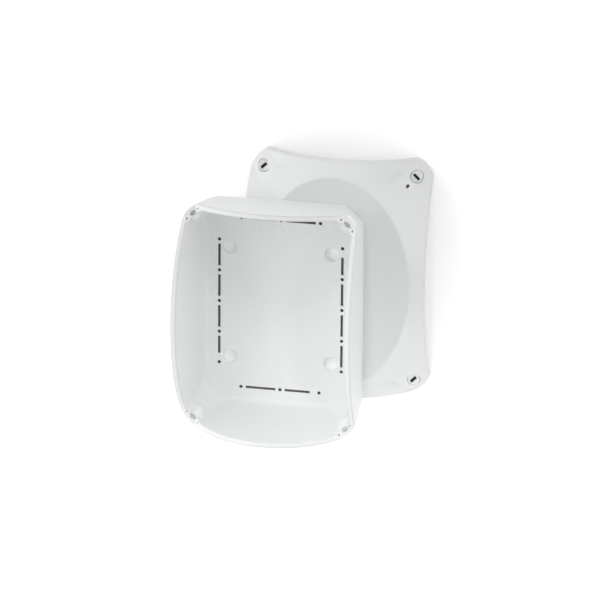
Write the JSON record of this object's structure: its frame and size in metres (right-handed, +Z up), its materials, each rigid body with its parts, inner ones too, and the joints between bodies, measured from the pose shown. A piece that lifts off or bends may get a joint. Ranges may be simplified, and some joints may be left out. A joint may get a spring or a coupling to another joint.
{
  "type": "cable junction box",
  "caption": "Open weatherproof cable junction box with arched walls, lying on its removed lid, which has quarter-turn corner fasteners.",
  "frame": {"origin": "middle of the whole, box and lid as they lie, on the floor", "axes": "+Z up and out of the open box, +Y along the long sides of box and lid, +X towards the side where the lid shows"},
  "size_m": [0.2016, 0.2331, 0.1312],
  "materials": {
    "box_plastic": "light grey moulded thermoplastic, satin",
    "lid_plastic": "light grey moulded thermoplastic, satin, a shade darker than the box",
    "seal_rubber": "pale grey soft seal",
    "fastener_plastic": "light grey moulded thermoplastic, satin"
  },
  "bodies": {
    "housing": {"box_base": "box_plastic", "lid": "lid_plastic", "lid_seal": "seal_rubber"},
    "fastener_one": {"fastener_1": "fastener_plastic"},
    "fastener_two": {"fastener_2": "fastener_plastic"},
    "fastener_three": {"fastener_3": "fastener_plastic"},
    "fastener_four": {"fastener_4": "fastener_plastic"}
  },
  "joints": [
    {"name": "turn_1", "type": "hinge", "parent": "housing", "child": "fastener_one", "pos_m": [0.0872, 0.10135, 0.00925], "axis": [0, 0, 1], "range_deg": [-90, 0]},
    {"name": "turn_2", "type": "hinge", "parent": "housing", "child": "fastener_two", "pos_m": [-0.0466, 0.10135, 0.00925], "axis": [0, 0, 1], "range_deg": [-90, 0]},
    {"name": "turn_3", "type": "hinge", "parent": "housing", "child": "fastener_three", "pos_m": [-0.0466, -0.08265, 0.00925], "axis": [0, 0, 1], "range_deg": [-90, 0]},
    {"name": "turn_4", "type": "hinge", "parent": "housing", "child": "fastener_four", "pos_m": [0.0872, -0.08265, 0.00925], "axis": [0, 0, 1], "range_deg": [-90, 0]}
  ]
}
